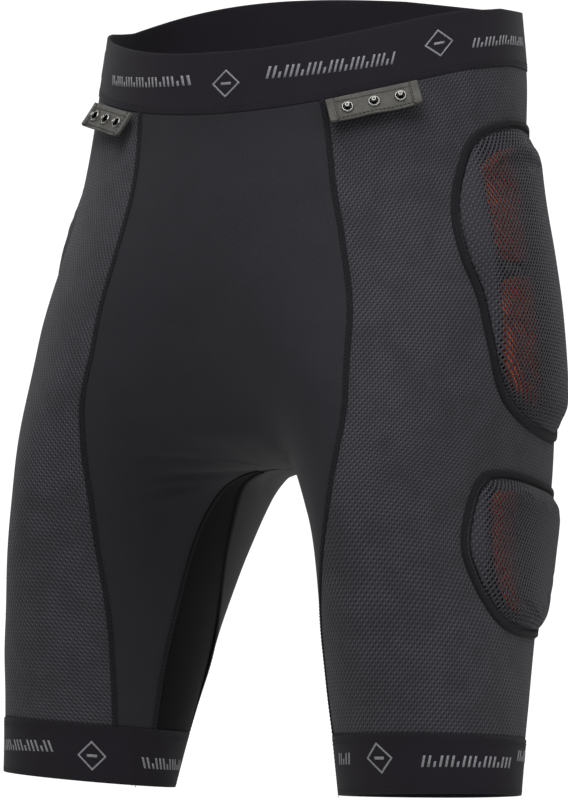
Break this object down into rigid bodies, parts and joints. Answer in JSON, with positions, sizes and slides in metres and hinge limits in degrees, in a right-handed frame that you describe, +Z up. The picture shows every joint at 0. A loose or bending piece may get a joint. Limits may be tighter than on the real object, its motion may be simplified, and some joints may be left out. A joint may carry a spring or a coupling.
{
  "type": "padded impact shorts",
  "caption": "Knee-length stretch undershorts with foam pads in mesh pockets on hips, thighs and tailbone, an elastic waistband, leg cuffs and press-stud tapes.",
  "frame": {"origin": "middle of the waist opening", "axes": "+Z up the body, +Y to the wearer's back, +X to the wearer's left"},
  "size_m": [0.393, 0.2847, 0.5443],
  "materials": {
    "band_fabric": "woven elastic, matt",
    "stretch_fabric": "smooth stretch knit, faint sheen",
    "mesh_fabric": "open spacer mesh",
    "inner_fabric": "smooth stretch knit, matt",
    "cuff_fabric": "woven elastic, matt",
    "silicone": "printed silicone, satin",
    "foam": "closed-cell foam, matt",
    "binding": "stretch binding, topstitched",
    "tape": "coated tape, satin",
    "stud_metal": "plated, satin"
  },
  "bodies": {
    "shorts": {"waistband": "band_fabric", "front_panel": "stretch_fabric", "seat_panel": "stretch_fabric", "side_panel_left": "mesh_fabric", "inner_thigh_panel_left": "inner_fabric", "leg_cuff_left": "cuff_fabric", "cuff_gripper_left": "silicone", "hip_foam_upper_left": "foam", "hip_foam_lower_left": "foam", "hip_pocket_cover_left": "mesh_fabric", "hip_pocket_binding_left": "binding", "thigh_foam_left": "foam", "thigh_pocket_cover_left": "mesh_fabric", "thigh_pocket_binding_left": "binding", "side_panel_right": "mesh_fabric", "inner_thigh_panel_right": "inner_fabric", "leg_cuff_right": "cuff_fabric", "cuff_gripper_right": "silicone", "hip_foam_upper_right": "foam", "hip_foam_lower_right": "foam", "hip_pocket_cover_right": "mesh_fabric", "hip_pocket_binding_right": "binding", "thigh_foam_right": "foam", "thigh_pocket_cover_right": "mesh_fabric", "thigh_pocket_binding_right": "binding", "tailbone_foam": "foam", "tailbone_pocket_cover": "mesh_fabric", "tailbone_pocket_binding": "binding"},
    "tape_left": {"popper_tape_left": "tape", "popper_stud_left_1": "stud_metal", "popper_rivet_left_1": "stud_metal", "popper_stud_left_2": "stud_metal", "popper_rivet_left_2": "stud_metal", "popper_stud_left_3": "stud_metal", "popper_rivet_left_3": "stud_metal"},
    "tape_right": {"popper_tape_right": "tape", "popper_stud_right_1": "stud_metal", "popper_rivet_right_1": "stud_metal", "popper_stud_right_2": "stud_metal", "popper_rivet_right_2": "stud_metal", "popper_stud_right_3": "stud_metal", "popper_rivet_right_3": "stud_metal"}
  },
  "joints": [
    {"name": "tape_flip_left", "type": "hinge", "parent": "shorts", "child": "tape_left", "pos_m": [0.10481, -0.09155, -0.06413], "axis": [-0.795, -0.57, -0.2077], "range_deg": [-12, 130], "stiffness_Nm_per_rad": 0.005},
    {"name": "tape_flip_right", "type": "hinge", "parent": "shorts", "child": "tape_right", "pos_m": [-0.09337, -0.09896, -0.06684], "axis": [-0.8476, 0.4955, 0.1896], "range_deg": [-12, 130], "stiffness_Nm_per_rad": 0.005}
  ]
}
